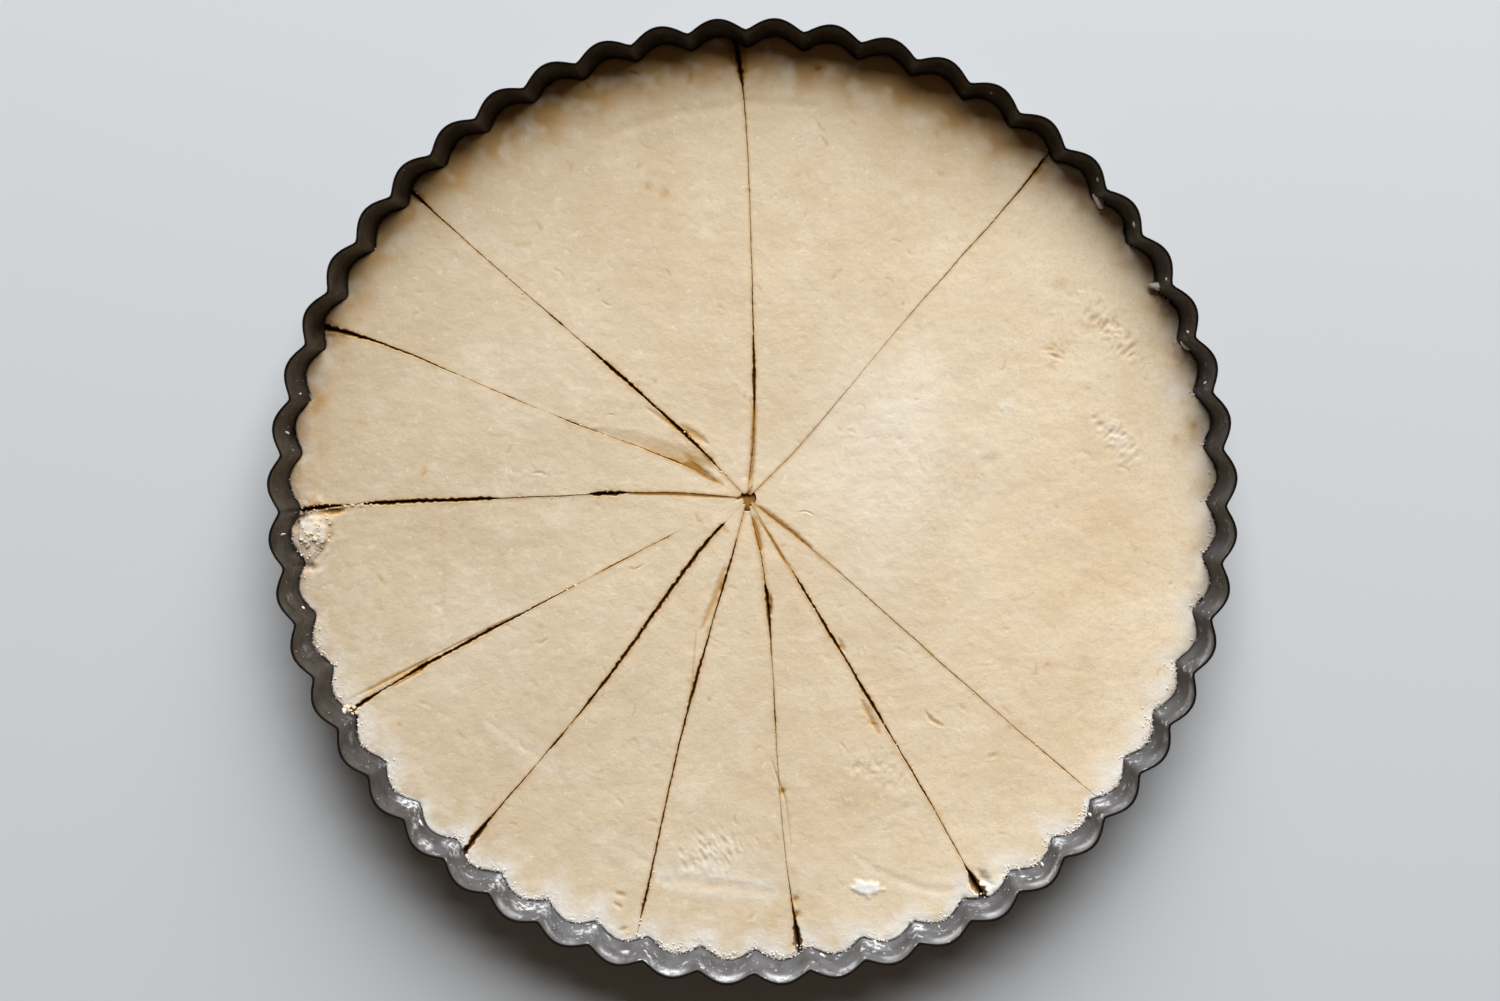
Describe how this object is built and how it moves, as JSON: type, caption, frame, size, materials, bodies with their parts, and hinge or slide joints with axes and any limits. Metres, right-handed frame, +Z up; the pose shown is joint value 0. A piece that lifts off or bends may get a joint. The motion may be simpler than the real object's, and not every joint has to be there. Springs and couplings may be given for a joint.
{
  "type": "raw shortbread round in a fluted tart tin",
  "caption": "Round of pale shortbread dough pressed into a dark fluted tart tin and cut by knife into wedges that meet at its centre, ready to bake.",
  "frame": {"origin": "centre of the tin's flat underside", "axes": "+Z up out of the tin's mouth; +X and +Y across the round, with the long uncut quarter on the +X side and the first cut counterclockwise of it in the +X +Y quadrant"},
  "size_m": [0.2496, 0.2496, 0.0251],
  "materials": {
    "tin_steel": "tinned steel darkened by use, satin, with flour marks",
    "dough": "raw shortbread dough, matt and pale cream",
    "flour": "flour and dough smears, matt off-white"
  },
  "bodies": {
    "root": {"tin": "tin_steel", "wedge_01": "dough", "wedge_02": "dough", "wedge_03": "dough", "wedge_04": "dough", "wedge_05": "dough", "wedge_06": "dough", "wedge_07": "dough", "wedge_08": "dough", "wedge_09": "dough", "wedge_10": "dough", "wedge_11": "dough"}
  },
  "joints": []
}
